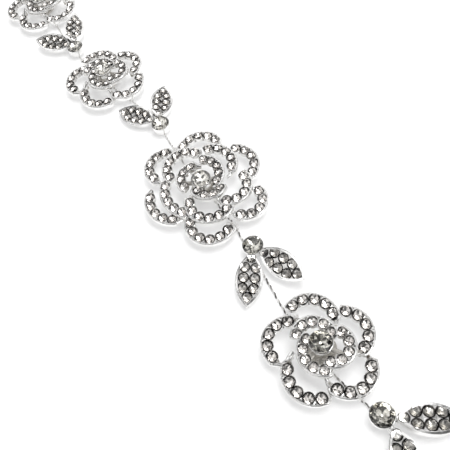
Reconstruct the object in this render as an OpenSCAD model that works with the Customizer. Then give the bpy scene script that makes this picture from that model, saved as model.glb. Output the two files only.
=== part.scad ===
// A rhinestone rose hair vine: five openwork roses and four leaf sprigs on one twisted wire,
// lying flat as it comes off the head. X runs along the band, Z is up and the surface is z = 0.

/* [Band] */
// Thickness of the twisted wire over both strands
wire_d = 0.7; // [0.6:0.05:0.9]
// Length of the whole band, over both end rings
band_len = 246; // [240:1:256]
// Outside diameter of the ring at each end of the wire
ring_od = 6.4; // [5.5:0.1:8]
// Bore of that ring, for a pin, a comb or a ribbon
ring_bore = 3.6; // [3:0.1:4.2]
// Thickness of that ring
ring_h = 1.0; // [0.8:0.1:1.6]

/* [Stones] */
// Girdle diameter of the small round stones
stone_d = 1.92; // [1.8:0.02:1.94]
// Girdle diameter of the large stones, one in each rose and sprig
main_d = 4.4; // [4:0.1:4.8]
// Play between a stone and its seat, all round
seat_gap = 0.05; // [0.04:0.01:0.06]
// Distance from stone to stone in the two lower rings of petals
wide_pitch = 2.4; // [2.3:0.05:2.5]
// Distance from stone to stone in the innermost ring
close_pitch = 2.1; // [2.1:0.02:2.2]

/* [Roses] */
// Height of the underside of the outer petals
petal_z = 1.6; // [1.4:0.1:2.2]
// Thickness of the metal of the outer petals
petal_h = 1.4; // [1.3:0.1:1.8]
// How far the middle ring of petals stands over the outer one
middle_rise = 0.9; // [0.7:0.1:1.2]
// How far the innermost ring stands over the outer one
inner_rise = 1.8; // [1.5:0.1:2.1]
// How far the girdle of the large stone stands over the outer petals
centre_rise = 2.7; // [2.4:0.1:3.2]
// Metal outside the line of stones, to the polished rim
rim_out = 1.45; // [1.35:0.05:1.7]
// Metal inside the line of stones, between the scallops
rim_in = 1.0; // [0.8:0.05:1.1]
// Radius of the round cup about each small stone
cup_r = 1.3; // [1.25:0.05:1.35]
// How far the lip of a cup stands over the petal
cup_lip = 0.1; // [0.08:0.01:0.12]

/* [Sprigs] */
// Thickness of a leaf
leaf_h = 1.2; // [1.1:0.1:1.6]
// Width of a leaf at its middle
leaf_w = 6.0; // [5.5:0.1:6.4]
// Length of a leaf from its first stone to its tip
leaf_len = 11.2; // [10.8:0.1:12]
// Height of the girdle of a sprig's large stone
sprig_girdle_z = 2.9; // [2.6:0.1:3.4]

/* [Hidden] */

$fn = 48;

// Where each rose sits on the band: x, y and how far it is turned. The third one is the large rose.
ROSES = [
    [-93.6, -3.9, 13],
    [-49.5, -2.3, 13],
    [0, -0.35, 0],
    [47.2, -2.3, 0],
    [91.5, -3.8, -6]
];
LARGE = 2;

// Where the large stone of each sprig sits: x, y and how far the sprig is turned
SPRIGS = [
    [-67.4, -4.1, -163],
    [-23.8, 1.2, -171],
    [20.6, -0.1, 0],
    [63.5, -1.3, 37]
];

// Columns of the petal tables. A petal is a band round (PX, PY) that runs clockwise from FIRST,
// the angle of its first stone; HEAD and TAIL are the bare degrees of metal before and after.
// TIER is the ring it belongs to, from the outside in, and POST the ring its tail climbs to.
PX = 0;
PY = 1;
PR = 2;
FIRST = 3;
HEAD = 4;
COUNT = 5;
TAIL = 6;
TIER = 7;
POST = 8;

SMALL_PETALS = [
    [-5.3,  1.5, 4.8, 190, 12, 5, 32, 0, 2],
    [ 0.6,  5.3, 4.6, 137, 15, 5, 26, 0, 2],
    [ 6.3,  1.4, 4.5,  60, 28, 5, 34, 0, 2],
    [ 3.2, -4.1, 5.1, -22, 20, 5, 38, 0, 2],
    [-4.1, -4.4, 4.5, 273, 28, 5, 30, 0, 2],
    [-1.6, -0.4, 3.4, 219, 12, 5, 20, 2, 2],
    [ 1.3, -0.5, 3.8, -34, 22, 5, 12, 2, 2],
    [ 1.6,  1.6, 3.2, 108, 12, 5, 20, 2, 2]
];

LARGE_PETALS = [
    [ -9.2,  4.9, 4.9, 210, 12, 5, 28, 0, 1],
    [ -0.2,  8.5, 5.4, 136, 15, 5, 26, 0, 1],
    [ 10.0,  5.6, 3.9,  93, 24, 5, 34, 0, 1],
    [  9.6, -3.9, 4.8,  24, 25, 6, 22, 0, 1],
    [ -1.3, -6.9, 6.3, -38, 24, 5, 20, 0, 1],
    [-10.5, -4.1, 4.4, 282, 32, 5, 46, 0, 1],
    [ -6.5, -0.6, 4.7, 270, 15, 6, 20, 1, 1],
    [ -0.2, -1.6, 7.6, -57, 10, 5, 14, 1, 1],
    [  5.3, -1.2, 4.8,  24, 18, 6, 26, 1, 1],
    [  4.6,  4.7, 4.2,  91, 16, 5, 34, 1, 1],
    [ -3.1,  4.5, 5.1, 156, 12, 5, 36, 1, 1],
    [ -1.7, -0.6, 3.5, 275, 18, 4, 44, 2, 2],
    [  1.5,  0.9, 3.3,  28, 18, 4, 24, 2, 2],
    [ -1.8,  0.6, 4.6, 137, 15, 5, 24, 2, 2]
];

// The two leaves of each sprig, from its large stone: where the first stone sits, the height of the
// underside there, the way the leaf points, how far its tip is bent down and how far it is rolled
LX = 0;
LY = 1;
ROOT_Z = 2;
TURN = 3;
DROOP = 4;
ROLL = 5;
LEAVES = [
    [[2.9, -1.7, 1.9, -46, -3,  12], [3.2, 0.3, 1.7, 20,  0, -13]],
    [[2.9, -1.6, 1.6, -44,  6,  12], [3.1, 0.6, 1.6, 18,  6, -10]],
    [[2.1, -1.9, 1.2, -41,  4,  -3], [2.8, 1.4, 1.7, 16, -3,  28]],
    [[3.0, -2.4, 1.4, -53,  3,   0], [3.5, 0.4, 1.7, 18,  6, -12]]
];
// Distances of the pairs of stones and of the last stone from the first one, and half the distance
// between the two rows
leaf_pairs = [2.3, 4.7, 7.05];
leaf_last = 9.1;
leaf_half = 1.22;

// Gap between the wire and what rests over it or closes its ends
wire_clear = 0.1;

// The wire's own line along the surface, from one end ring to the other
ring_x = (band_len - ring_od) / 2;
ring_y = -5.2;
ring_seat = ring_od / 2 + wire_clear;
WIRE_PATH = [
    [ring_seat - ring_x, ring_y], [-108, -5], [-98, -4.5], [-90, -4], [-82, -4.2], [-74, -4.8], [-67, -4.7],
    [-60, -3.8], [-52, -2.6], [-44, -1.8], [-36, 0.1], [-31, 1.2], [-27, 1.2], [-23, 0.9], [-19, 0.5],
    [-12, 0], [-4, -0.2], [5, 0], [12, 0], [16, -0.6], [20, -1.1], [25, -1.6], [29, -2.2],
    [35, -3], [40, -3.5], [48, -3.8], [53, -3.2], [56, -2.8], [60, -2], [64, -1.5], [67, -1.9],
    [70, -2.8], [75, -4.2], [80, -4.7], [86, -4.2], [92, -3.9], [100, -4.5], [108, -4.9],
    [ring_x - ring_seat, ring_y]
];
wire_steps = 2;
wire_sides = 8;

// How far a cut runs on past the face it opens in
cut_over = 1;

// Levels, all from the surface up
base_z = wire_d + wire_clear;
base_h = 0.8;
RISES = [0, middle_rise, inner_rise];
PITCHES = [wide_pitch, wide_pitch, close_pitch];

// Posts that carry the tails of the petals up to the ring over them
post_r = 0.75;
post_in = 0.2;
post_turn = 8;

// How far a cup starts over the underside of its petal
cup_foot = 0.3;

// Small stones: their parts over and under the girdle
crown_h = 0.42;
pavilion_h = 0.7;
table_share = 0.58;
stone_sunk = 0.08;
seat_r = stone_d / 2 + seat_gap;
seat_depth = 0.9;
seat_over = 1.2;
stone_sides = 8;

// Large stones
main_crown_h = 1.15;
main_pavilion_h = 1.5;
main_shoulder_share = 0.8;
main_shoulder_at = 0.5;
main_table_share = 0.42;
main_slice = 0.02;
main_wall = 0.3;
main_seat_r = main_d / 2 + seat_gap;
main_seat_depth = 1.7;
main_cup_r = main_seat_r + main_wall;
centre_girdle_z = petal_z + petal_h + centre_rise;
main_sunk = 0.12;

// Bars from the middle cup out to the innermost ring: their direction and their length
bar_w = 1.1;
bar_h = petal_h / 2;
SMALL_BARS = [[285, 4.2], [30, 4.6]];
LARGE_BARS = [[235, 5.4], [75, 4.8], [345, 4.8]];
hub_r = 3.3;

// Leaves: metal behind the first stone, and the seats for the row of fine stones
leaf_back = 1.25;
arc_sides = 96;
leaf_seat_depth = 0.6;
leaf_cup_r = 1.2;
stalk_w = 1.6;
stalk_h = 1.3;

silver = [0.80, 0.80, 0.81];
crystal = [0.62, 0.62, 0.60];

function polar(r, a) = [r * cos(a), r * sin(a)];
function stone_step(p) = 2 * asin(PITCHES[p[TIER]] / 2 / p[PR]);
function stone_angle(p, i) = p[FIRST] - i * stone_step(p);
function stone_place(p, i) = [p[PX], p[PY]] + polar(p[PR], stone_angle(p, i));
function foot_z(p) = petal_z + RISES[p[TIER]];
function top_z(p) = foot_z(p) + petal_h;
function petals_of(i) = i == LARGE ? LARGE_PETALS : SMALL_PETALS;
function bars_of(i) = i == LARGE ? LARGE_BARS : SMALL_BARS;

module on_band(place) {
    translate([place[0], place[1], 0])
        rotate([0, 0, place[2]])
            children();
}

// A small cut stone with its girdle at z = 0: a table, eight crown facets and a pointed back
module small_stone() {
    cylinder(r1 = stone_d / 2, r2 = stone_d / 2 * table_share, h = crown_h, $fn = stone_sides);
    translate([0, 0, -pavilion_h])
        cylinder(r1 = 0, r2 = stone_d / 2, h = pavilion_h, $fn = stone_sides);
}

// A large cut stone with its girdle at z = 0: the shoulder is turned half a facet from the table
module large_stone() {
    hull() {
        linear_extrude(main_slice)
            circle(r = main_d / 2, $fn = stone_sides);
        translate([0, 0, main_crown_h * main_shoulder_at])
            rotate([0, 0, 180 / stone_sides])
                linear_extrude(main_slice)
                    circle(r = main_d / 2 * main_shoulder_share, $fn = stone_sides);
        translate([0, 0, main_crown_h - main_slice])
            linear_extrude(main_slice)
                circle(r = main_d / 2 * main_table_share, $fn = stone_sides);
        translate([0, 0, -main_pavilion_h])
            cylinder(r1 = 0, r2 = main_d / 2, h = main_pavilion_h, $fn = stone_sides);
    }
}

// The band of one petal: its metal, from its foot up to the plane of its stones
module petal_metal(p) {
    step = stone_step(p);
    sweep = p[HEAD] + (p[COUNT] - 1) * step + p[TAIL];
    last = p[FIRST] + p[HEAD] - sweep;
    translate([p[PX], p[PY], foot_z(p)])
        rotate([0, 0, last])
            rotate_extrude(angle = sweep)
                translate([p[PR] - rim_in, 0])
                    square([rim_in + rim_out, petal_h]);
    for (i = [0 : p[COUNT] - 1])
        translate(concat(stone_place(p, i), foot_z(p) + cup_foot))
            cylinder(r = cup_r, h = petal_h + cup_lip - cup_foot);
    if (p[POST] > p[TIER])
        translate(concat([p[PX], p[PY]] + polar(p[PR] + post_in, last + post_turn), foot_z(p)))
            cylinder(r = post_r, h = RISES[p[POST]] - RISES[p[TIER]] + bar_h);
}

module petal_seats(p) {
    for (i = [0 : p[COUNT] - 1])
        translate(concat(stone_place(p, i), top_z(p) - seat_depth))
            cylinder(r = seat_r, h = seat_depth + seat_over);
}

// The hub that rests on the wire, the tall cup on it, and bars from the cup to the innermost ring
module rose_base(bars) {
    translate([0, 0, base_z])
        cylinder(r = hub_r, h = base_h);
    translate([0, 0, base_z])
        cylinder(r = main_cup_r, h = centre_girdle_z + main_sunk - base_z);
    for (b = bars)
        rotate([0, 0, b[0]])
            translate([0, -bar_w / 2, petal_z + inner_rise])
                cube([b[1], bar_w, bar_h]);
}

module rose_frame(i) {
    color(silver)
        on_band(ROSES[i])
            difference() {
                union() {
                    rose_base(bars_of(i));
                    for (p = petals_of(i))
                        petal_metal(p);
                }
                for (p = petals_of(i))
                    petal_seats(p);
                translate([0, 0, centre_girdle_z + main_sunk - main_seat_depth])
                    cylinder(r = main_seat_r, h = main_seat_depth + cut_over);
            }
}

module petal_stones(i) {
    color(crystal)
        on_band(ROSES[i])
            for (p = petals_of(i))
                for (k = [0 : p[COUNT] - 1])
                    translate(concat(stone_place(p, k), top_z(p) - stone_sunk))
                        rotate([0, 0, stone_angle(p, k)])
                            small_stone();
}

module rose_centre(i) {
    color(crystal)
        on_band(ROSES[i])
            translate([0, 0, centre_girdle_z])
                large_stone();
}

// Outline of a leaf: two arcs from the stalk to the tip
module leaf_outline() {
    long = leaf_len + leaf_back;
    arc_r = (long * long + leaf_w * leaf_w) / 4 / leaf_w;
    intersection_for(side = [-1, 1])
        translate([long / 2 - leaf_back, side * (arc_r - leaf_w / 2)])
            circle(r = arc_r, $fn = arc_sides);
}

leaf_points = concat(
    [[0, 0]],
    [for (x = leaf_pairs, side = [1, -1]) [x, side * leaf_half]],
    [[leaf_last, 0]]
);

// Each leaf is bent its own way at its stalk
module on_leaf(leaf) {
    translate([leaf[LX], leaf[LY], leaf[ROOT_Z]])
        rotate([0, 0, leaf[TURN]])
            rotate([0, leaf[DROOP], 0])
                rotate([leaf[ROLL], 0, 0])
                    children();
}

module leaf_frame(leaf) {
    on_leaf(leaf)
        difference() {
            union() {
                linear_extrude(leaf_h)
                    leaf_outline();
                for (at = leaf_points)
                    translate(at)
                        cylinder(r = leaf_cup_r, h = leaf_h);
            }
            for (at = leaf_points)
                translate([at[0], at[1], leaf_h - leaf_seat_depth])
                    cylinder(r = seat_r, h = leaf_seat_depth + cut_over);
        }
}

// The tall cup of the large stone, and a flat stalk that bridges the wire out to each leaf
module sprig_frame(i) {
    color(silver)
        on_band(SPRIGS[i])
            difference() {
                union() {
                    for (leaf = LEAVES[i])
                        leaf_frame(leaf);
                    translate([0, 0, base_z])
                        cylinder(r = main_cup_r, h = sprig_girdle_z + main_sunk - base_z);
                    for (leaf = LEAVES[i])
                        rotate([0, 0, atan2(leaf[LY], leaf[LX])])
                            translate([0, -stalk_w / 2, base_z])
                                cube([norm([leaf[LX], leaf[LY]]), stalk_w, stalk_h]);
                }
                translate([0, 0, sprig_girdle_z + main_sunk - main_seat_depth])
                    cylinder(r = main_seat_r, h = main_seat_depth + cut_over);
            }
}

module sprig_stone(i) {
    color(crystal)
        on_band(SPRIGS[i])
            translate([0, 0, sprig_girdle_z])
                large_stone();
}

// The route is smoothed by passing a cubic through its points
function smooth(a, b, c, d, t) =
    b + t / 2 * (c - a) + t * t * (a - 2.5 * b + 2 * c - 0.5 * d) + t * t * t / 2 * (3 * b - 3 * c + d - a);

function point_at(path, i) = path[max(0, min(len(path) - 1, i))];

function route(path, steps) = concat(
    [for (i = [0 : len(path) - 2], k = [0 : steps - 1])
        smooth(point_at(path, i - 1), path[i], path[i + 1], point_at(path, i + 2), k / steps)],
    [path[len(path) - 1]]
);

// A round tube with its middle line on the given flat route
module tube(line, r, z, sides) {
    n = len(line);
    ends = [for (i = [0 : n - 1]) point_at(line, i + 1) - point_at(line, i - 1)];
    points = [
        for (i = [0 : n - 1], k = [0 : sides - 1])
            let (a = k * 360 / sides, side = [-ends[i][1], ends[i][0]] / norm(ends[i]))
                concat(line[i] + side * r * cos(a), z + r * sin(a))
    ];
    walls = [
        for (i = [0 : n - 2], k = [0 : sides - 1])
            let (next = (k + 1) % sides)
                [(i + 1) * sides + k, (i + 1) * sides + next, i * sides + next, i * sides + k]
    ];
    first = [for (k = [0 : sides - 1]) k];
    last = [for (k = [sides - 1 : -1 : 0]) (n - 1) * sides + k];
    polyhedron(points, concat(walls, [first, last]));
}

module band_wire() {
    color(silver)
        tube(route(WIRE_PATH, wire_steps), wire_d / 2, wire_d / 2, wire_sides);
}

// A flat ring that the wire ends in
module end_ring(side) {
    color(silver)
        translate([side * ring_x, ring_y, 0])
            difference() {
                cylinder(d = ring_od, h = ring_h);
                translate([0, 0, -cut_over])
                    cylinder(d = ring_bore, h = ring_h + 2 * cut_over);
            }
}

rose_frame(0);  // rose_frame_1
rose_frame(1);  // rose_frame_2
rose_frame(2);  // rose_frame_3
rose_frame(3);  // rose_frame_4
rose_frame(4);  // rose_frame_5
petal_stones(0);  // petal_stones_1
petal_stones(1);  // petal_stones_2
petal_stones(2);  // petal_stones_3
petal_stones(3);  // petal_stones_4
petal_stones(4);  // petal_stones_5
rose_centre(0);  // rose_centre_1
rose_centre(1);  // rose_centre_2
rose_centre(2);  // rose_centre_3
rose_centre(3);  // rose_centre_4
rose_centre(4);  // rose_centre_5
sprig_frame(0);  // sprig_frame_1
sprig_frame(1);  // sprig_frame_2
sprig_frame(2);  // sprig_frame_3
sprig_frame(3);  // sprig_frame_4
sprig_stone(0);  // sprig_stone_1
sprig_stone(1);  // sprig_stone_2
sprig_stone(2);  // sprig_stone_3
sprig_stone(3);  // sprig_stone_4
band_wire();
end_ring(-1);  // end_ring_1
end_ring(1);  // end_ring_2
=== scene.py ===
import math
import random
from collections import namedtuple

import bmesh
import bpy
from mathutils import Matrix, Quaternion, Vector


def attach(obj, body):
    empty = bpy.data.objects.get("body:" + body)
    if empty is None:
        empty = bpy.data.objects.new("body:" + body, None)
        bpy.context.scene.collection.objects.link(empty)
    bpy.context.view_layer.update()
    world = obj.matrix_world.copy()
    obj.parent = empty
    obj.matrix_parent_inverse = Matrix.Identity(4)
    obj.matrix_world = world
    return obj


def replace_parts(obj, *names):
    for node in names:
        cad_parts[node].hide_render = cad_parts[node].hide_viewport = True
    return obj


# A rhinestone rose hair vine: five openwork roses and four leaf sprigs on one twisted wire,
# lying on a pale table. Lengths are in millimetres until a piece is made, and then in metres.

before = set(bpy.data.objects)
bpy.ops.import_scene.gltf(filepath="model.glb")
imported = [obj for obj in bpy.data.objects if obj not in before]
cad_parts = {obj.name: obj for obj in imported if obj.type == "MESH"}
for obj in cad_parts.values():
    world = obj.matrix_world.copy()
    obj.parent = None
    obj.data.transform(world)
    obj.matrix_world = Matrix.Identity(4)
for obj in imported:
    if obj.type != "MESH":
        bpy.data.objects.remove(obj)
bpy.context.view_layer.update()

MM = 0.001
UP = Vector((0, 0, 1))
random.seed(7)


def set_out(name, data):
    """A new object in the scene, at the origin."""
    made = bpy.data.objects.new(name, data)
    bpy.context.scene.collection.objects.link(made)
    return made


# Camera, as the photograph was taken: its place, the way it looks, its roll and its lens
FRAME_PIXELS = 450
FOCAL_PIXELS = 550
CAMERA_AT = Vector((74.65, -22.63, 108.2))
CAMERA_LOOK = Vector((-0.501, 0.165, -0.850))
CAMERA_ROLL = 17.35
SENSOR = 36
NEAREST_VIEW = 10

camera_data = bpy.data.cameras.new("camera")
camera_data.sensor_width = SENSOR
camera_data.lens = SENSOR * FOCAL_PIXELS / FRAME_PIXELS
camera_data.clip_start = NEAREST_VIEW * MM
camera = set_out("camera", camera_data)
camera.location = CAMERA_AT * MM
camera.rotation_mode = "QUATERNION"
level = CAMERA_LOOK.to_track_quat("-Z", "Y")
camera.rotation_quaternion = level @ Quaternion((0, 0, 1), math.radians(-CAMERA_ROLL))
bpy.context.scene.camera = camera

# Where each rose sits on the band, and how far it is turned. The third one is the large rose.
# Each large stone has a turn of its own, and behind some the foil is brighter: painted light.
Place = namedtuple("Place", "x y turn")
ROSES = [
    Place(-93.6, -3.9, 13),
    Place(-49.5, -2.3, 13),
    Place(0, -0.35, 0),
    Place(47.2, -2.3, 0),
    Place(91.5, -3.8, -6),
]
LARGE = 2
ROSE_HEART_TURNS = [8, 39, 43, 42, 7]
LIT_ROSE_HEARTS = (0, 1, 2)
SPRIGS = [
    Place(-67.4, -4.1, -163),
    Place(-23.8, 1.2, -171),
    Place(20.6, -0.1, 0),
    Place(63.5, -1.3, 37),
]
SPRIG_HEART_TURNS = [44, 23, 8, 14]
LIT_SPRIG_HEARTS = (0, 1)
# The fourth sprig's leaf stones have a darker foil: painted shade
SHADED_SPRIG = 3

# A petal is a band round (x, y) that runs clockwise from the angle of its first stone. Its head
# and tail are the bare degrees of metal before and after the stones. Rings count from the outside.
Petal = namedtuple("Petal", "x y r first head count tail ring climbs")
SMALL_ROSE = [
    Petal(-5.3, 1.5, 4.8, 190, 12, 5, 32, 0, 2),
    Petal(0.6, 5.3, 4.6, 137, 15, 5, 26, 0, 2),
    Petal(6.3, 1.4, 4.5, 60, 28, 5, 34, 0, 2),
    Petal(3.2, -4.1, 5.1, -22, 20, 5, 38, 0, 2),
    Petal(-4.1, -4.4, 4.5, 273, 28, 5, 30, 0, 2),
    Petal(-1.6, -0.4, 3.4, 219, 12, 5, 20, 2, 2),
    Petal(1.3, -0.5, 3.8, -34, 22, 5, 12, 2, 2),
    Petal(1.6, 1.6, 3.2, 108, 12, 5, 20, 2, 2),
]
LARGE_ROSE = [
    Petal(-9.2, 4.9, 4.9, 210, 12, 5, 28, 0, 1),
    Petal(-0.2, 8.5, 5.4, 136, 15, 5, 26, 0, 1),
    Petal(10.0, 5.6, 3.9, 93, 24, 5, 34, 0, 1),
    Petal(9.6, -3.9, 4.8, 24, 25, 6, 22, 0, 1),
    Petal(-1.3, -6.9, 6.3, -38, 24, 5, 20, 0, 1),
    Petal(-10.5, -4.1, 4.4, 282, 32, 5, 46, 0, 1),
    Petal(-6.5, -0.6, 4.7, 270, 15, 6, 20, 1, 1),
    Petal(-0.2, -1.6, 7.6, -57, 10, 5, 14, 1, 1),
    Petal(5.3, -1.2, 4.8, 24, 18, 6, 26, 1, 1),
    Petal(4.6, 4.7, 4.2, 91, 16, 5, 34, 1, 1),
    Petal(-3.1, 4.5, 5.1, 156, 12, 5, 36, 1, 1),
    Petal(-1.7, -0.6, 3.5, 275, 18, 4, 44, 2, 2),
    Petal(1.5, 0.9, 3.3, 28, 18, 4, 24, 2, 2),
    Petal(-1.8, 0.6, 4.6, 137, 15, 5, 24, 2, 2),
]

# Levels of the metal, as in the solids
PETAL_Z = 1.6
PETAL_H = 1.4
RISES = [0, 0.9, 1.8]
PITCHES = [2.4, 2.4, 2.1]
STONE_SUNK = 0.08
CENTRE_GIRDLE_Z = 5.7
SPRIG_GIRDLE_Z = 2.9
BASE_Z = 0.8
POST_IN = 0.2
POST_TURN = 8
POST_OVER = 0.1

# Bars from the middle cup out to the innermost ring: their direction and their length
Bar = namedtuple("Bar", "turn length")
SMALL_BARS = [Bar(285, 4.2), Bar(30, 4.6)]
LARGE_BARS = [Bar(235, 5.4), Bar(75, 4.8), Bar(345, 4.8)]

# The two leaves of each sprig, from its large stone, each bent its own way
Leaf = namedtuple("Leaf", "x y root_z turn droop roll")
LEAVES = [
    [Leaf(2.9, -1.7, 1.9, -46, -3, 12), Leaf(3.2, 0.3, 1.7, 20, 0, -13)],
    [Leaf(2.9, -1.6, 1.6, -44, 6, 12), Leaf(3.1, 0.6, 1.6, 18, 6, -10)],
    [Leaf(2.1, -1.9, 1.2, -41, 4, -3), Leaf(2.8, 1.4, 1.7, 16, -3, 28)],
    [Leaf(3.0, -2.4, 1.4, -53, 3, 0), Leaf(3.5, 0.4, 1.7, 18, 6, -12)],
]
LEAF_PAIRS = [2.3, 4.7, 7.05]
LEAF_HALF = 1.22
LEAF_LAST = 9.1
LEAF_LEN = 11.2
LEAF_BACK = 1.25
LEAF_W = 6.0
LEAF_H = 1.2
LEAF_ARC_R = ((LEAF_LEN + LEAF_BACK) ** 2 + LEAF_W ** 2) / 4 / LEAF_W
LEAF_TILE_R = 1.75
LEAF_BORDER = 0.3
LEAF_SEGMENTS = 40

# From a leaf's edge to its bed: how far each step goes in, and up
LEAF_STEPS = [(0.14, 0.0), (0.3, 0.05), (0.14, 0.0), (0.08, -0.8)]

# A leaf's seats stand a little proud of its plate. Neighbours are stones this near to each other.
LEAF_SEAT_OVER = 0.02
LEAF_BOWL_DEPTH = 0.75
LEAF_RIM_DROP = 0.04
LEAF_STONE_SUNK = 0.04
NEIGHBOUR = 3.4

# The wire's own line along the table, from one end ring to the other
BAND_LEN = 246
RING_OD = 6.4
RING_BORE = 3.6
RING_H = 1.0
RING_X = (BAND_LEN - RING_OD) / 2
RING_Y = -5.2
WIRE_D = 0.7
WIRE_END_X = RING_X - RING_OD / 2 - 0.1
WIRE_PATH = [
    (-WIRE_END_X, RING_Y), (-108, -5), (-98, -4.5), (-90, -4), (-82, -4.2), (-74, -4.8),
    (-67, -4.7), (-60, -3.8), (-52, -2.6), (-44, -1.8), (-36, 0.1), (-31, 1.2), (-27, 1.2),
    (-23, 0.9), (-19, 0.5), (-12, 0), (-4, -0.2), (5, 0), (12, 0), (16, -0.6), (20, -1.1),
    (25, -1.6), (29, -2.2), (35, -3), (40, -3.5), (48, -3.8), (53, -3.2), (56, -2.8), (60, -2),
    (64, -1.5), (67, -1.9), (70, -2.8), (75, -4.2), (80, -4.7), (86, -4.2), (92, -3.9),
    (100, -4.5), (108, -4.9), (WIRE_END_X, RING_Y),
]


def polar(r, degrees, z=0.0):
    a = math.radians(degrees)
    return Vector((r * math.cos(a), r * math.sin(a), z))


def moved(x, y, z):
    return Matrix.Translation((x, y, z))


def tilted(degrees, axis):
    return Matrix.Rotation(math.radians(degrees), 4, axis)


def turned(degrees):
    return tilted(degrees, "Z")


def sized(x, y, z):
    return Matrix.Diagonal((x, y, z, 1))


def on_band(place):
    return moved(place.x, place.y, 0) @ turned(place.turn)


def smoothstep(t):
    t = max(0.0, min(1.0, t))
    return t * t * (3 - 2 * t)


# Nodes of a material

def material(name, colour, roughness, metallic=0.0):
    made = bpy.data.materials.new(name)
    made.use_nodes = True
    shader = made.node_tree.nodes["Principled BSDF"]
    shader.inputs["Base Color"].default_value = (*colour, 1)
    shader.inputs["Roughness"].default_value = roughness
    shader.inputs["Metallic"].default_value = metallic
    return made, shader


def add(tree, kind, **values):
    made = tree.nodes.new(kind)
    for name, value in values.items():
        if hasattr(made, name):
            setattr(made, name, value)
        else:
            made.inputs[name.replace("_", " ")].default_value = value
    return made


def noise(tree, scale, detail):
    place = tree.nodes.get("place") or add(tree, "ShaderNodeTexCoord", name="place")
    made = add(tree, "ShaderNodeTexNoise")
    made.inputs["Scale"].default_value = scale
    made.inputs["Detail"].default_value = detail
    tree.links.new(place.outputs["Object"], made.inputs["Vector"])
    return made


def ramp(tree, source, stops):
    made = add(tree, "ShaderNodeValToRGB")
    elements = made.color_ramp.elements
    while len(elements) < len(stops):
        elements.new(0.5)
    for element, (at, colour) in zip(elements, stops):
        element.position = at
        element.color = (*colour, 1)
    tree.links.new(source, made.inputs["Fac"])
    return made


def grey(v):
    return (v, v, v)


# How fine the patterns in the finishes are, in rounds to a metre, and how high the waviness stands
CLOUD_SCALE = 260
SPOT_SCALE = 700
CUP_SPOT_SCALE = 650
GLOSS_SCALE = 900
WAVE_SCALE = 1400
WAVE_HEIGHT = 0.05 * MM
STONE_SCALE = 380
FOIL_SCALE = 700
CRYSTAL_IOR = 1.56


def plating(
    name, low, high, rough_low, rough_high, bump, cloud_scale=CLOUD_SCALE, cloud_ends=(0.35, 0.62),
):
    """Plated metal: clouds of tone and gloss, and the faint waviness of a small casting."""
    made, shader = material(name, high, rough_low, metallic=1.0)
    tree = made.node_tree
    cloud = noise(tree, cloud_scale, 4)
    tone = ramp(tree, cloud.outputs["Fac"], [(cloud_ends[0], low), (cloud_ends[1], high)])
    tree.links.new(tone.outputs["Color"], shader.inputs["Base Color"])
    rubbed = noise(tree, GLOSS_SCALE, 3).outputs["Fac"]
    gloss = ramp(tree, rubbed, [(0.35, grey(rough_low)), (0.7, grey(rough_high))])
    tree.links.new(gloss.outputs["Color"], shader.inputs["Roughness"])
    waves = add(tree, "ShaderNodeBump")
    waves.inputs["Strength"].default_value = bump
    waves.inputs["Distance"].default_value = WAVE_HEIGHT
    tree.links.new(noise(tree, WAVE_SCALE, 2).outputs["Fac"], waves.inputs["Height"])
    tree.links.new(waves.outputs["Normal"], shader.inputs["Normal"])
    return made


def crystal_glass():
    """Clear glass, faintly clouded in tone from stone to stone."""
    made, shader = material("clear_crystal", (0.95, 0.95, 0.94), 0.01)
    shader.inputs["Transmission Weight"].default_value = 1.0
    shader.inputs["IOR"].default_value = CRYSTAL_IOR
    tree = made.node_tree
    cloud = noise(tree, STONE_SCALE, 1).outputs["Fac"]
    tone = ramp(tree, cloud, [(0.35, (0.80, 0.79, 0.77)), (0.65, (0.96, 0.955, 0.94))])
    tree.links.new(tone.outputs["Color"], shader.inputs["Base Color"])
    return made


def stone_foil(name, low, high, roughness):
    """The mirror on the back of a stone, duller in places where the foil has aged."""
    made, shader = material(name, high, roughness, metallic=1.0)
    tree = made.node_tree
    tone = ramp(tree, noise(tree, FOIL_SCALE, 3).outputs["Fac"], [(0.38, low), (0.6, high)])
    tree.links.new(tone.outputs["Color"], shader.inputs["Base Color"])
    return made


# The darker strand has no painted spots before the one place along the band, and all of them after
# the other
PLAIN_WIRE_X = -35
SPOTTED_WIRE_X = 5


def spot_shaded_wire():
    """The duller strand, spotted with painted shade, but hardly towards the first rose."""
    made = plating(
        "wire_painted_shade", (0.12, 0.11, 0.105), (0.88, 0.87, 0.85), 0.35, 0.55, 0.2,
        SPOT_SCALE, (0.44, 0.56),
    )
    tree = made.node_tree
    shader = tree.nodes["Principled BSDF"]
    spots = shader.inputs["Base Color"].links[0].from_socket
    along = add(tree, "ShaderNodeSeparateXYZ")
    tree.links.new(tree.nodes["place"].outputs["Object"], along.inputs["Vector"])
    spotted_share = add(tree, "ShaderNodeMapRange", From_Min=PLAIN_WIRE_X * MM, From_Max=SPOTTED_WIRE_X * MM)
    tree.links.new(along.outputs["X"], spotted_share.inputs["Value"])
    tone = add(tree, "ShaderNodeMix", data_type="RGBA")
    tone.inputs["A"].default_value = (0.93, 0.925, 0.91, 1)
    tree.links.new(spotted_share.outputs["Result"], tone.inputs["Factor"])
    tree.links.new(spots, tone.inputs["B"])
    tree.links.new(tone.outputs["Result"], shader.inputs["Base Color"])
    return made


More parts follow.
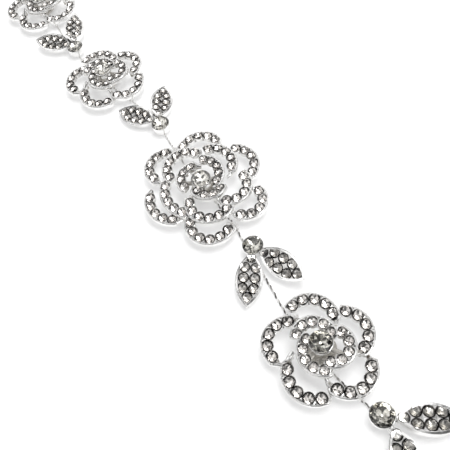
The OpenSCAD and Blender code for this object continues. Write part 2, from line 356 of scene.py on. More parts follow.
SILVER = plating("bright_silver", (0.80, 0.795, 0.785), (0.96, 0.955, 0.945), 0.08, 0.2, 0.25)
SEAT_SILVER = plating("seat_silver", (0.70, 0.69, 0.675), (0.90, 0.895, 0.88), 0.14, 0.28, 0.3)
LEAF_SILVER = plating("leaf_bed_silver", (0.56, 0.55, 0.535), (0.84, 0.83, 0.815), 0.16, 0.3, 0.4)
SHADED_SILVER = plating("shaded_silver", (0.36, 0.34, 0.31), (0.66, 0.64, 0.60), 0.2, 0.4, 0.4)
# The inside of a cup: painted shade, lighter in spots
CUP_SHADE = plating("cup_shade", (0.03, 0.025, 0.024), (0.55, 0.53, 0.51), 0.3, 0.5, 0.3,
                    CUP_SPOT_SCALE, (0.46, 0.6))
# The inside of a leaf's cup: painted shade
LEAF_SHADE = plating("leaf_cup_shade", (0.07, 0.062, 0.058), (0.22, 0.205, 0.195), 0.3, 0.5, 0.3)
# Painted shade, bronze in tone, for the tops of some petals' heads
JOINT_SHADE = plating("joint_painted_shade", (0.09, 0.075, 0.068), (0.34, 0.29, 0.25), 0.15, 0.35, 0.4)
BRIGHT_WIRE = plating("bright_wire", (0.86, 0.85, 0.84), (0.97, 0.965, 0.95), 0.42, 0.6, 0.2)
# The darker strand, spotted with painted shade
SPOT_SHADED_WIRE = spot_shaded_wire()
CRYSTAL = crystal_glass()
FOIL = stone_foil("small_stone_foil", (0.60, 0.58, 0.57), (0.95, 0.93, 0.91), 0.04)
LEAF_FOIL = stone_foil("leaf_stone_foil", (0.42, 0.405, 0.39), (0.78, 0.765, 0.745), 0.12)
# A darker foil for one sprig's leaf stones: painted shade
SHADED_LEAF_FOIL = stone_foil("leaf_stone_foil_painted_shade", (0.32, 0.31, 0.29), (0.66, 0.645, 0.62), 0.12)
MAIN_FOIL = stone_foil("large_stone_foil", (0.34, 0.33, 0.30), (0.80, 0.79, 0.745), 0.03)
# A brighter foil for some large stones: painted light
LIT_HEART_FOIL = stone_foil("large_stone_foil_painted_light", (0.58, 0.565, 0.53), (0.94, 0.93, 0.895), 0.03)


# Making pieces: points nearer than these are one

CUT_NEAR = 1e-5
WELD_NEAR = 1e-4


def join(into, part, place):
    """Adds a copy of a finished part to a piece."""
    scrap = bpy.data.meshes.new("scrap")
    part.to_mesh(scrap)
    scrap.transform(place)
    into.from_mesh(scrap)
    bpy.data.meshes.remove(scrap)


# Edges that bend more than this many degrees show: the metal is smooth, and every facet is flat
METAL_EDGE = 40
FACET_EDGE = 1


def piece(name, bm, materials, replaced=(), sharp=METAL_EDGE):
    """Makes a piece of the band from millimetres, in place, riding on the band's one body."""
    mesh = bpy.data.meshes.new(name)
    bmesh.ops.scale(bm, vec=Vector((MM, MM, MM)), verts=bm.verts)
    bm.to_mesh(mesh)
    bm.free()
    for each in materials:
        mesh.materials.append(each)
    mesh.polygons.foreach_set("use_smooth", [True] * len(mesh.polygons))
    mesh.set_sharp_from_angle(angle=math.radians(sharp))
    made = set_out(name, mesh)
    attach(made, "root")
    if replaced:
        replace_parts(made, *replaced)


def outline(bm, points):
    """A closed loop of edges through points."""
    verts = [bm.verts.new(p) for p in points]
    edges = [bm.edges.new((a, b)) for a, b in zip(verts, verts[1:] + verts[:1])]
    return verts, edges


def cut_away(bm, at, outwards):
    """Takes off what lies beyond a plane, and closes the cut."""
    bmesh.ops.bisect_plane(
        bm, geom=bm.verts[:] + bm.edges[:] + bm.faces[:], dist=CUT_NEAR, plane_co=at,
        plane_no=outwards, clear_outer=True,
    )
    bmesh.ops.holes_fill(bm, edges=[e for e in bm.edges if e.is_boundary], sides=0)


def turn_solid(profile, steps):
    """A solid of revolution about Z from (r, z) points, with flat ends."""
    bm = bmesh.new()
    verts = [bm.verts.new((r, 0, z)) for r, z in profile]
    edges = [bm.edges.new((a, b)) for a, b in zip(verts, verts[1:])]
    bmesh.ops.spin(
        bm, geom=verts + edges, cent=(0, 0, 0), axis=UP, angle=math.tau, steps=steps, use_merge=True
    )
    bmesh.ops.remove_doubles(bm, verts=bm.verts, dist=WELD_NEAR)
    bmesh.ops.holes_fill(bm, edges=[e for e in bm.edges if e.is_boundary], sides=0)
    bmesh.ops.recalc_face_normals(bm, faces=bm.faces)
    return bm


def rounded_bar(length, width, height, middle_z, rounding):
    """A bar that runs out from the middle along x, with its long edges rounded."""
    bm = bmesh.new()
    at = moved(length / 2, 0, middle_z) @ sized(length, width, height)
    bmesh.ops.create_cube(bm, size=1, matrix=at)
    long_edges = [e for e in bm.edges if abs((e.verts[0].co - e.verts[1].co).x) > length / 2]
    bmesh.ops.bevel(
        bm, geom=long_edges, offset=rounding, offset_type="OFFSET", segments=3, profile=0.5,
        affect="EDGES", material=-1,
    )
    return bm


# Stones are cut the way real ones are: a round blank, and a plane ground off for each facet.
# A row of facets is how many, how far they are turned, and two points (r, z) that the plane passes.
Facets = namedtuple("Facets", "count turn low high")
GIRDLE = 0.03

# Places in a stone's list of materials
CLEAR, FOILED = range(2)


def cut_stone(radius, crown_h, pavilion_h, rows, sides):
    bm = bmesh.new()
    bmesh.ops.create_cone(
        bm, cap_ends=True, segments=sides, radius1=radius, radius2=radius,
        depth=crown_h + pavilion_h, matrix=moved(0, 0, (crown_h - pavilion_h) / 2),
    )
    for row in rows:
        for k in range(row.count):
            a = row.turn + k * 360 / row.count
            low = polar(row.low[0], a, row.low[1])
            along = polar(row.high[0], a, row.high[1]) - low
            normal = UP.cross(polar(1, a)).cross(along)
            if normal.dot(polar(1, a)) < 0:
                normal = -normal
            cut_away(bm, low, normal)
    bmesh.ops.recalc_face_normals(bm, faces=bm.faces)
    for face in bm.faces:
        back = face.calc_center_median().z < -GIRDLE
        face.material_index = FOILED if back else CLEAR
    return bm


STONE_R = 1.03
STONE_CROWN = 0.22
STONE_PAVILION = 0.36
SMALL_STONE = cut_stone(STONE_R, STONE_CROWN, STONE_PAVILION, [
    Facets(8, 22.5, (STONE_R, -GIRDLE), (0, -STONE_PAVILION)),
    Facets(8, 0, (0.7, -0.14), (0, -STONE_PAVILION + 0.03)),
    Facets(8, 0, (STONE_R, GIRDLE), (0.7, STONE_CROWN)),
], 16)

MAIN_R = 2.28
MAIN_CROWN = 1.15
MAIN_PAVILION = 0.8
LARGE_STONE = cut_stone(MAIN_R, MAIN_CROWN, MAIN_PAVILION, [
    Facets(8, 22.5, (MAIN_R, -GIRDLE), (0, -MAIN_PAVILION)),
    Facets(8, 0, (1.55, -0.3), (0, -MAIN_PAVILION + 0.06)),
    Facets(16, 11.25, (MAIN_R, GIRDLE), (2.1, 0.3)),
    Facets(8, 0, (2.14, 0.3), (1.5, 0.85)),
    Facets(8, 22.5, (1.6, 0.8), (1.25, MAIN_CROWN)),
], 32)

# Places in the metal's list of materials, after the bare metal: metal painted in shade, the painted
# shade inside a cup, the bed round a stone, and painted shade, bronze in tone, on top of a joint
SHADED, BOWL_SHADE, BED, SHADED_JOINT = range(1, 5)

# Seats: each stone lies in a bowl, painted dark inside as shade, that is sunk into a tile of bright
# metal. The tiles of a petal meet halfway between the stones, but for a hair of a seam. Inside the
# petal's curve the metal follows each bowl.
BOWL_FOOT_R = 0.94
BOWL_WALL_R = 1.08
BOWL_WALL_DEPTH = 0.28
BOWL_R = 1.25
SEAT_R = 1.34
SEAT_OUT = 1.25
SEAT_FLOOR = 0.15
SEAT_SIDES = 16
PETAL_BED_Z = 0.35
PETAL_RIM_DROP = 0.05
SEAM = 0.996
NEAR = 0.01


def bowl(top, depth, rim_drop):
    made = turn_solid([
        (BOWL_FOOT_R, top - depth), (BOWL_WALL_R, top - BOWL_WALL_DEPTH), (BOWL_R, top),
        (SEAT_R, top - rim_drop), (SEAT_R, top - depth - SEAT_FLOOR),
    ], SEAT_SIDES)
    for face in made.faces:
        inside = max(v.co.xy.length for v in face.verts) < BOWL_R + NEAR
        face.material_index = BOWL_SHADE if inside else BED
    return made


def petal_seat(petal):
    """One stone's tile, as wide as the stones are apart and out to the rim (x is outwards)."""
    made = bowl(PETAL_H, PETAL_H - PETAL_BED_Z - SEAT_FLOOR, PETAL_RIM_DROP)
    spread = math.tan(math.radians(stone_step(petal) / 2))
    for v in made.verts:
        x, y = v.co.x, abs(v.co.y)
        side = SEAM * petal.r * spread / (y - x * spread) if y > x * spread else math.inf
        if v.co.xy.length > SEAT_R - NEAR and x > NEAR:
            v.co.xy *= min(side, SEAT_OUT / x)
        else:
            v.co.xy *= min(side, 1)
    return made


# Cross-section of a petal in (distance from the line of stones, height): a channel with a rounded
# rim outside, and beside each corner where it goes in the bare bar of a head or tail
Corner = namedtuple("Corner", "out z bar_out bar_z")
SECTION = [
    Corner(-0.85, 0.0, -0.5, 0.1),
    Corner(1.15, 0.0, 0.8, 0.1),
    Corner(1.38, 0.16, 1.0, 0.3),
    Corner(1.45, 0.6, 1.05, 0.6),
    Corner(1.43, 1.1, 0.95, 0.95),
    Corner(1.34, 1.32, 0.8, 1.15),
    Corner(1.2, 1.4, 0.55, 1.27),
    Corner(1.02, 1.38, 0.3, 1.3),
    Corner(0.95, 1.3, 0.05, 1.26),
    Corner(0.9, 0.45, -0.2, 1.15),
    Corner(-0.8, 0.4, -0.45, 0.9),
    Corner(-0.95, 0.3, -0.6, 0.6),
]
BAR_TAPER = 0.45
BAR_MIDDLE_OUT = 0.2
BAR_MIDDLE_Z = 0.6
CUP_SHARE = 0.75
CLOSING_DEGREES = 8
TAIL_UNDER = 0.35
DEGREES_A_STEP = 6
ANGLE_NEAR = 0.1

# The corners on top of a bar, which get painted shade where a petal's first stone is at less than
# this angle
JOINT_CORNERS = (6, 7, 8, 9, 10)
SHADED_JOINT_END = 90


def stone_step(petal):
    return math.degrees(2 * math.asin(PITCHES[petal.ring] / 2 / petal.r))


def stone_angles(petal):
    return [petal.first - k * stone_step(petal) for k in range(petal.count)]


def stone_size(petal):
    return PITCHES[petal.ring] / PITCHES[0]


def foot_z(petal):
    return PETAL_Z + RISES[petal.ring]


def petal_band(petal):
    """The metal of a petal: a channel under its stones that closes to a tapered bar at both ends.
    The heads of some petals have painted shade on top, bronze in tone."""
    bm = bmesh.new()
    corner = bm.verts.layers.int.new("corner")
    start = petal.first + petal.head
    span = (petal.count - 1) * stone_step(petal)
    sweep = petal.head + span + petal.tail
    points = [polar(petal.r + c.out, start, c.z) for c in SECTION]
    verts, edges = outline(bm, points)
    for k, v in enumerate(verts):
        v[corner] = k
    bmesh.ops.spin(
        bm, geom=verts + edges, cent=(0, 0, 0), axis=UP, angle=-math.radians(sweep),
        steps=math.ceil(sweep / DEGREES_A_STEP),
    )
    bmesh.ops.holes_fill(bm, edges=[e for e in bm.edges if e.is_boundary], sides=0)
    bmesh.ops.recalc_face_normals(bm, faces=bm.faces)
    cup_half = math.degrees(SEAT_R / petal.r) * CUP_SHARE
    joint = set()
    shaded_head = 0 < petal.first < SHADED_JOINT_END
    for v in bm.verts:
        c = SECTION[v[corner]]
        angle = math.degrees(math.atan2(v.co.y, v.co.x))
        passed = (start - angle) % 360
        if passed > 360 - ANGLE_NEAR:
            passed = 0.0
        before = petal.head - cup_half - passed
        after = passed - petal.head - span - cup_half
        bare = smoothstep(max(before, after) / CLOSING_DEGREES)
        end = max(before / max(petal.head - cup_half, 1), after / max(petal.tail - cup_half, 1))
        taper = 1 - BAR_TAPER * max(0.0, min(1.0, end))
        out = c.out + (c.bar_out - c.out) * bare
        z = c.z + (c.bar_z - c.z) * bare
        if shaded_head and before > after and bare > 0.5 and v[corner] in JOINT_CORNERS:
            joint.add(v)
        if bare > 0:
            out = BAR_MIDDLE_OUT + (out - BAR_MIDDLE_OUT) * taper
            z = BAR_MIDDLE_Z + (z - BAR_MIDDLE_Z) * taper
        climb = max(0.0, RISES[petal.climbs] - RISES[petal.ring] - TAIL_UNDER)
        z += climb * smoothstep(after / max(petal.tail - cup_half, 1))
        v.co = polar(petal.r + out, angle, z)
    for face in bm.faces:
        if joint.issuperset(face.verts):
            face.material_index = SHADED_JOINT
    return bm


def rose_metal(petals, bars):
    bm = bmesh.new()
    for petal in petals:
        at = moved(petal.x, petal.y, foot_z(petal))
        join(bm, petal_band(petal), at)
        size = stone_size(petal)
        seat = petal_seat(petal)
        for a in stone_angles(petal):
            join(bm, seat, at @ turned(a) @ moved(petal.r, 0, 0) @ sized(size, size, 1))
        if petal.climbs > petal.ring:
            end = stone_angles(petal)[-1] - petal.tail + POST_TURN
            height = RISES[petal.climbs] - RISES[petal.ring] + POST_OVER
            join(bm, post(height), at @ moved(*polar(petal.r + POST_IN, end)))
    join(bm, centre_cup(CENTRE_GIRDLE_Z), Matrix())
    for bar in bars:
        join(bm, cross_bar(bar.length), turned(bar.turn) @ moved(0, 0, PETAL_Z + RISES[2]))
    return bm


def post(height):
    made = turn_solid([(0.35, 0.2), (0.5, 0.35), (0.42, height - 0.15), (0.25, height)], 12)
    for face in made.faces:
        face.material_index = SHADED
    return made


CUP_SIDES = 32
CUP_BRIGHT_H = 1.2
CUP_MOUTH_R = 2.28
CUP_DEPTH = 1.56


def centre_cup(girdle_z):
    """The tall cup of a large stone, on its hub."""
    made = turn_solid([
        *tall_cup(girdle_z), (2.3, girdle_z - 1.6), (2.1, BASE_Z + 1.0),
        (2.7, BASE_Z + 0.75), (3.1, BASE_Z + 0.6), (3.2, BASE_Z + 0.25), (3.0, BASE_Z),
    ], CUP_SIDES)
    for face in made.faces:
        if face.calc_center_median().z < girdle_z - CUP_BRIGHT_H:
            face.material_index = SHADED
    paint_shade_inside(made, girdle_z)
    return made


def tall_cup(girdle_z):
    """Inside wall, lip and upper flank of the cup of a large stone."""
    return [
        (2.05, girdle_z - 1.55), (2.24, girdle_z - 0.3), (2.3, girdle_z - 0.04),
        (2.36, girdle_z - 0.06), (2.42, girdle_z - 0.2), (2.45, girdle_z - 0.6),
    ]


# Paints shade inside the mouth of a cup
def paint_shade_inside(cup, girdle_z):
    for face in cup.faces:
        spot = face.calc_center_median()
        if spot.xy.length < CUP_MOUTH_R and spot.z > girdle_z - CUP_DEPTH:
            face.material_index = BOWL_SHADE


BAR_W = 1.0
BAR_H = 0.7
BAR_Z = 0.42
BAR_ROUNDING = 0.25


def cross_bar(length):
    """A bar from the middle cup to the innermost ring."""
    bm = rounded_bar(length, BAR_W, BAR_H, BAR_Z, BAR_ROUNDING)
    for face in bm.faces:
        face.material_index = SHADED
    return bm


STONE_LEAN = 8
STONE_LOW = -0.03
STONE_HIGH = 0.02
FACET_TURN = 45


def scattered(rng, at):
    """A stone's own small turn, lean and depth in its cup."""
    lean = (
        tilted(rng.uniform(-STONE_LEAN, STONE_LEAN), "X")
        @ tilted(rng.uniform(-STONE_LEAN, STONE_LEAN), "Y")
    )
    sunk = moved(0, 0, rng.uniform(STONE_LOW, STONE_HIGH))
    return at @ sunk @ lean @ turned(rng.uniform(0, FACET_TURN))


def petal_stones(petals, rng):
    bm = bmesh.new()
    for petal in petals:
        middle = Vector((petal.x, petal.y, foot_z(petal) + PETAL_H - STONE_SUNK))
        size = stone_size(petal)
        for a in stone_angles(petal):
            at = scattered(rng, moved(*(middle + polar(petal.r, a))))
            join(bm, SMALL_STONE, at @ sized(size, size, 1))
    return bm


def heart(owner, node, at, foil):
    """The large stone of a rose or a sprig."""
    bm = bmesh.new()
    join(bm, LARGE_STONE, at)
    piece(f"{owner}_heart", bm, [CRYSTAL, foil], [node], sharp=FACET_EDGE)


ROSE_METAL = [SILVER, SHADED_SILVER, CUP_SHADE, SEAT_SILVER, JOINT_SHADE]
ROSE_SEED = 100

for i, place in enumerate(ROSES):
    number = i + 1
    rng = random.Random(ROSE_SEED + i)
    petals = LARGE_ROSE if i == LARGE else SMALL_ROSE
    bars = LARGE_BARS if i == LARGE else SMALL_BARS
    metal = rose_metal(petals, bars)
    metal.transform(on_band(place))
    piece(f"rose_{number}_metal", metal, ROSE_METAL, [f"rose_frame_{number}"])
    stones = petal_stones(petals, rng)
    stones.transform(on_band(place))
    piece(
        f"rose_{number}_stones", stones, [CRYSTAL, FOIL], [f"petal_stones_{number}"],
        sharp=FACET_EDGE,
    )
    at = on_band(place) @ moved(0, 0, CENTRE_GIRDLE_Z) @ turned(ROSE_HEART_TURNS[i])
    foil = LIT_HEART_FOIL if i in LIT_ROSE_HEARTS else MAIN_FOIL
    heart(f"rose_{number}", f"rose_centre_{number}", at, foil)


# Sprigs

def leaf_points():
    pairs = [Vector((x, side * LEAF_HALF, 0)) for x in LEAF_PAIRS for side in (1, -1)]
    return [Vector((0, 0, 0)), *pairs, Vector((LEAF_LAST, 0, 0))]


def on_leaf(leaf):
    bend = tilted(leaf.droop, "Y") @ tilted(leaf.roll, "X")
    return moved(leaf.x, leaf.y, leaf.root_z) @ turned(leaf.turn) @ bend


def leaf_plate():
    """A pointed leaf with a polished border round a sunk bed."""
    long = LEAF_LEN + LEAF_BACK
    bm = bmesh.new()
    bmesh.ops.create_circle(bm, cap_ends=True, segments=LEAF_SEGMENTS, radius=long / 2)
    for v in bm.verts:
        half = math.sqrt(max(0.0, LEAF_ARC_R ** 2 - v.co.x ** 2)) - (LEAF_ARC_R - LEAF_W / 2)
        v.co.y = math.copysign(max(half, 0.0), v.co.y)
        v.co.x += long / 2 - LEAF_BACK
    bmesh.ops.remove_doubles(bm, verts=bm.verts, dist=NEAR)
    walls = bmesh.ops.extrude_face_region(bm, geom=bm.faces[:])
    raised = [g for g in walls["geom"] if isinstance(g, bmesh.types.BMVert)]
    bmesh.ops.translate(bm, vec=UP * LEAF_H, verts=raised)
    bmesh.ops.recalc_face_normals(bm, faces=bm.faces)
    lid = max(bm.faces, key=lambda f: f.calc_center_median().z)
    for inwards, up in LEAF_STEPS:
        bmesh.ops.inset_region(bm, faces=[lid], thickness=inwards, depth=up)
    return bm


def leaf_seats():
    """The stones' tiles on a leaf: each reaches halfway to its neighbours, and to the border."""
    bm = bmesh.new()
    spots = leaf_points()
    middle_x = LEAF_LEN / 2 - LEAF_BACK / 2
    for spot in spots:
        tile = bowl(LEAF_H + LEAF_SEAT_OVER, LEAF_BOWL_DEPTH, LEAF_RIM_DROP)
        for v in tile.verts:
            if v.co.xy.length > SEAT_R - NEAR:
                v.co.xy *= LEAF_TILE_R / SEAT_R
        ways = [other - spot for other in spots if 0 < (other - spot).length < NEIGHBOUR]
        cuts = [(way / 2 * SEAM, way) for way in ways]
        for side in (1, -1):
            from_arc = spot - Vector((middle_x, side * (LEAF_W / 2 - LEAF_ARC_R), 0))
            if from_arc.y * side > 0:
                away = from_arc.normalized()
                cuts.append((away * (LEAF_ARC_R - LEAF_BORDER) - from_arc, away))
        for at, away in cuts:
            if away.dot(at) > 0:
                cut_away(tile, at, away)
        bmesh.ops.recalc_face_normals(tile, faces=tile.faces)
        join(bm, tile, moved(*spot))
    return bm


LEAF_PLATE = leaf_plate()
LEAF_SEATS = leaf_seats()


STALK_W = 1.5
STALK_H = 1.3
STALK_ROUNDING = 0.4


def stalk(leaf):
    length = math.hypot(leaf.x, leaf.y)
    return rounded_bar(length, STALK_W, STALK_H, BASE_Z + STALK_H / 2, STALK_ROUNDING)


def sprig_metal(leaves):
    bm = bmesh.new()
    for leaf in leaves:
        join(bm, LEAF_PLATE, on_leaf(leaf))
        join(bm, LEAF_SEATS, on_leaf(leaf))
        join(bm, stalk(leaf), turned(math.degrees(math.atan2(leaf.y, leaf.x))))
    cup = turn_solid([*tall_cup(SPRIG_GIRDLE_Z), (2.3, BASE_Z + 0.1), (2.1, BASE_Z)], CUP_SIDES)
    paint_shade_inside(cup, SPRIG_GIRDLE_Z)
    join(bm, cup, Matrix())
    return bm


def leaf_stones(leaves, rng):
    bm = bmesh.new()
    for leaf in leaves:
        for spot in leaf_points():
            at = on_leaf(leaf) @ moved(*spot) @ moved(0, 0, LEAF_H - LEAF_STONE_SUNK)
            join(bm, SMALL_STONE, scattered(rng, at))
    return bm


SPRIG_METAL = [SILVER, SHADED_SILVER, LEAF_SHADE, LEAF_SILVER]
SPRIG_SEED = 200

for i, place in enumerate(SPRIGS):
    number = i + 1
    rng = random.Random(SPRIG_SEED + i)
    metal = sprig_metal(LEAVES[i])
    metal.transform(on_band(place))
    piece(f"sprig_{number}_metal", metal, SPRIG_METAL, [f"sprig_frame_{number}"])
    stones = leaf_stones(LEAVES[i], rng)
    stones.transform(on_band(place))
    foil = SHADED_LEAF_FOIL if i == SHADED_SPRIG else LEAF_FOIL
    piece(f"sprig_{number}_leaf_stones", stones, [CRYSTAL, foil], sharp=FACET_EDGE)
    at = on_band(place) @ moved(0, 0, SPRIG_GIRDLE_Z) @ turned(SPRIG_HEART_TURNS[i])
    foil = LIT_HEART_FOIL if i in LIT_SPRIG_HEARTS else MAIN_FOIL
    heart(f"sprig_{number}", f"sprig_stone_{number}", at, foil)


# The wire: two strands laid round each other along the band's line
STRAND_R = 0.135
LAY_R = 0.145
LAY_PITCH = 1.9
POINTS_A_TURN = 10
FINE_STEPS = 20


def smooth(a, b, c, d, t):
    """A place between b and c on the smooth line through all four."""
    bend = t * t * (a - 2.5 * b + 2 * c - 0.5 * d)
    return b + t / 2 * (c - a) + bend + t ** 3 / 2 * (3 * b - 3 * c + d - a)


def wire_line():
    """Evenly spaced points along the wire's line."""
    path = [Vector((x, y, WIRE_D / 2)) for x, y in WIRE_PATH]
    knots = [path[0], *path, path[-1]]
    fine = []
    for k in range(len(path) - 1):
        fine += [smooth(*knots[k:k + 4], t / FINE_STEPS) for t in range(FINE_STEPS)]
    fine.append(path[-1])
    spacing = LAY_PITCH / POINTS_A_TURN
    points, ahead = [fine[0]], 0.0
    for a, b in zip(fine, fine[1:]):
        ahead += (b - a).length
        while ahead >= spacing:
            ahead -= spacing
            points.append(b - (b - a).normalized() * ahead)
    return points


def round_wire(name, radius):
    curve = bpy.data.curves.new(name, "CURVE")
    curve.dimensions = "3D"
    curve.bevel_depth = radius * MM
    curve.bevel_resolution = 2
    return curve


def wire_piece(curve, finish):
    curve.materials.append(finish)
    made = set_out(curve.name, curve)
    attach(made, "root")
    return made


def strand(name, line, offset, finish):
    """One strand, as a round curve that winds about the line."""
    curve = round_wire(name, STRAND_R)
    curve.use_fill_caps = True
    spline = curve.splines.new("POLY")
    spline.points.add(len(line) - 1)
    for k, point in enumerate(line):
        ahead = (line[min(k + 1, len(line) - 1)] - line[max(k - 1, 0)]).normalized()
        side = UP.cross(ahead)
        turn = math.tau * k / POINTS_A_TURN + offset
        at = point + side * LAY_R * math.cos(turn) + UP * LAY_R * math.sin(turn)
        spline.points[k].co = (*(at * MM), 1)
    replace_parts(wire_piece(curve, finish), "band_wire")


line = wire_line()
strand("wire_strand_a", line, 0, BRIGHT_WIRE)
strand("wire_strand_b", line, math.pi, SPOT_SHADED_WIRE)


# Ties: two turns of fine wire that pass over a petal, between two stones or on its bare end, and
# under the band wire. A tie is the rose, the petal in its list, and how far past its first stone,
# in degrees.
Tie = namedtuple("Tie", "rose petal passed")
TIES = [
    Tie(0, 0, 14.5), Tie(0, 2, 108.5), Tie(1, 0, 14.5), Tie(1, 2, 77.5), Tie(2, 3, -20),
    Tie(2, 5, 155), Tie(3, 2, 77.5), Tie(3, 4, 144), Tie(4, 2, 77.5), Tie(4, 4, 144),
]
TIE_R = 0.09
TIE_APART = 0.1
TIE_STEPS = 6

# A turn's way over the petal (outwards, height), under the wire (along, across, height), and up
TIE_OVER = [(-1.15, 0.75), (-0.85, 1.42), (0.2, 1.54), (1.2, 1.56), (1.62, 0.9), (1.45, 0.0)]
TIE_UNDER = [(0.7, -0.45, 0.5), (0.2, -0.14, 0.12), (-0.2, 0.14, 0.12), (-0.7, 0.45, 0.5)]
TIE_UP = (-1.05, 0.05)


def tie_turn(curve, over, under, way, side, shift):
    """One closed turn of a tie: over the petal, and slantwise under the band wire."""
    loop = [over @ Vector((out, shift, z)) for out, z in TIE_OVER]
    for along, across, z in TIE_UNDER:
        spot = under + way * along + UP.cross(way) * across * side
        loop.append(Vector((spot.x, spot.y, z)))
    loop.append(over @ Vector((TIE_UP[0], shift, TIE_UP[1])))
    spline = curve.splines.new("BEZIER")
    spline.bezier_points.add(len(loop) - 1)
    spline.use_cyclic_u = True
    for knot, spot in zip(spline.bezier_points, loop):
        knot.co = spot * MM
        knot.handle_left_type = knot.handle_right_type = "AUTO"


def ties(rose, line):
    """All the ties of one rose, as one curve."""
    curve = round_wire(f"rose_{rose + 1}_ties", TIE_R)
    curve.resolution_u = TIE_STEPS
    for tie in TIES:
        if tie.rose == rose:
            petal = (LARGE_ROSE if rose == LARGE else SMALL_ROSE)[tie.petal]
            at = moved(petal.x, petal.y, foot_z(petal)) @ turned(petal.first - tie.passed)
            over = on_band(ROSES[rose]) @ at @ moved(petal.r, 0, 0)
            spot = over.translation
            k = min(range(1, len(line) - 1), key=lambda k: (line[k] - spot).xy.length)
            way = (line[k + 1] - line[k - 1]).normalized()
            if way.dot(over.to_3x3() @ Vector((1, 0, 0))) < 0:
                way = -way
            for side in (1, -1):
                tie_turn(curve, over, line[k], way, side, -side * TIE_APART)
    wire_piece(curve, BRIGHT_WIRE)


for i in range(len(ROSES)):
    ties(i, line)


# The plain rings at the ends, with rounded edges

RING_EDGE = 0.22
RING_STEPS = 48


def end_ring():
    inner, outer, edge = RING_BORE / 2, RING_OD / 2, RING_EDGE
    bm = bmesh.new()
    profile = [
        (inner, edge), (inner + edge, 0), (outer - edge, 0), (outer, edge), (outer, RING_H - edge),
        (outer - edge, RING_H), (inner + edge, RING_H), (inner, RING_H - edge),
    ]
    verts, edges = outline(bm, [Vector((r, 0, z)) for r, z in profile])
    bmesh.ops.spin(
        bm, geom=verts + edges, cent=(0, 0, 0), axis=UP, angle=math.tau, steps=RING_STEPS,
        use_merge=True,
    )
    bmesh.ops.remove_doubles(bm, verts=bm.verts, dist=WELD_NEAR)
    bmesh.ops.recalc_face_normals(bm, faces=bm.faces)
    return bm


for number, side in ((1, -1), (2, 1)):
    ring = end_ring()
    ring.transform(moved(side * RING_X, RING_Y, 0))
    piece(f"ring_{number}", ring, [SILVER], [f"end_ring_{number}"])


# Table, light and view

CARD_GLOW = 0.37
CARD_HALF = 3.0
CARD_SCALE = 3


def table_top():
    bm = bmesh.new()
    bmesh.ops.create_grid(bm, x_segments=1, y_segments=1, size=CARD_HALF)
    mesh = bpy.data.meshes.new("table_top")
    bm.to_mesh(mesh)
    bm.free()
    top = set_out("table_top", mesh)
    paper, shader = material("white_card", (0.62, 0.62, 0.62), 0.7)
    tree = paper.node_tree
    cloud = noise(tree, CARD_SCALE, 2).outputs["Fac"]
    tone = ramp(tree, cloud, [(0.3, grey(0.61)), (0.7, grey(0.63))])
    tree.links.new(tone.outputs["Color"], shader.inputs["Base Color"])
    shader.inputs["Emission Color"].default_value = (1, 1, 1, 1)
    shader.inputs["Emission Strength"].default_value = CARD_GLOW
    mesh.materials.append(paper)


SKY_LEVEL = 1.25
PATCH_SCALE = 5.0
BACKDROP = (0.94, 0.94, 0.94)

# The soft key light gives the shadows, and the small lamp the sparkles (in metres and watts)
KEY_AT = (-0.058, 0.217, 0.556)
KEY_SIZE = 0.42
KEY_WATTS = 2.8
LAMP_AT = (0.264, 0.221, 0.492)
LAMP_SIZE = 0.14
LAMP_WATTS = 0.35


def softbox(name, at, size, power):
    data = bpy.data.lights.new(name, "AREA")
    data.size = size
    data.energy = power
    made = set_out(name, data)
    made.location = at
    made.rotation_mode = "QUATERNION"
    made.rotation_quaternion = (-Vector(at)).to_track_quat("-Z", "Y")
    return made


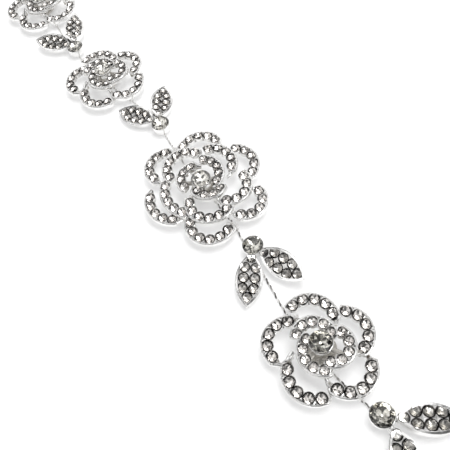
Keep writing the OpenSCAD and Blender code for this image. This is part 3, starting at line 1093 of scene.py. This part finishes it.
def studio():
    """A pale room with a dark line low on the walls, patches of light and shade higher up, greyer
    overhead, and a dark place where the camera and its stand are. Only the metal and the stones
    mirror it: what shows behind the table is a plain pale backdrop."""
    world = bpy.data.worlds.new("studio")
    bpy.context.scene.world = world
    world.use_nodes = True
    tree = world.node_tree
    background = tree.nodes["Background"]
    place = add(tree, "ShaderNodeTexCoord")
    split = add(tree, "ShaderNodeSeparateXYZ")
    tree.links.new(place.outputs["Generated"], split.inputs["Vector"])
    level = ramp(tree, split.outputs["Z"], [
        (0.0, grey(0.9)), (0.04, grey(0.1)), (0.11, grey(0.12)), (0.18, grey(0.9)),
        (0.55, grey(1.0)), (0.95, grey(1.0)), (1.0, grey(0.75)),
    ])
    patches = add(tree, "ShaderNodeTexNoise")
    patches.inputs["Scale"].default_value = PATCH_SCALE
    patches.inputs["Detail"].default_value = 1.0
    tree.links.new(place.outputs["Generated"], patches.inputs["Vector"])
    shade = ramp(tree, patches.outputs["Fac"], [(0.44, grey(0.1)), (0.48, grey(1.0))])
    away = add(tree, "ShaderNodeVectorMath", operation="DISTANCE")
    away.inputs[1].default_value = tuple(-CAMERA_LOOK)
    tree.links.new(place.outputs["Generated"], away.inputs[0])
    stand = ramp(tree, away.outputs["Value"], [(0.3, grey(0.08)), (0.55, grey(1.0))])
    sky = darkened(tree, level.outputs["Color"], shade.outputs["Color"])
    sky = darkened(tree, sky, stand.outputs["Color"])
    tree.links.new(sky, background.inputs["Color"])
    background.inputs["Strength"].default_value = SKY_LEVEL
    backdrop = add(tree, "ShaderNodeBackground")
    backdrop.inputs["Color"].default_value = (*BACKDROP, 1)
    seen = add(tree, "ShaderNodeLightPath")
    either = add(tree, "ShaderNodeMixShader")
    tree.links.new(seen.outputs["Is Camera Ray"], either.inputs["Fac"])
    tree.links.new(background.outputs["Background"], either.inputs[1])
    tree.links.new(backdrop.outputs["Background"], either.inputs[2])
    tree.links.new(either.outputs["Shader"], tree.nodes["World Output"].inputs["Surface"])


def darkened(tree, light, shade):
    made = add(tree, "ShaderNodeMix", data_type="RGBA", blend_type="MULTIPLY")
    made.inputs["Factor"].default_value = 1.0
    tree.links.new(light, made.inputs["A"])
    tree.links.new(shade, made.inputs["B"])
    return made.outputs["Result"]


table_top()
studio()
key = softbox("key", KEY_AT, KEY_SIZE, KEY_WATTS)
key.visible_glossy = False
softbox("lamp", LAMP_AT, LAMP_SIZE, LAMP_WATTS)
view = bpy.context.scene.view_settings
view.view_transform = "Standard"
view.look = "None"
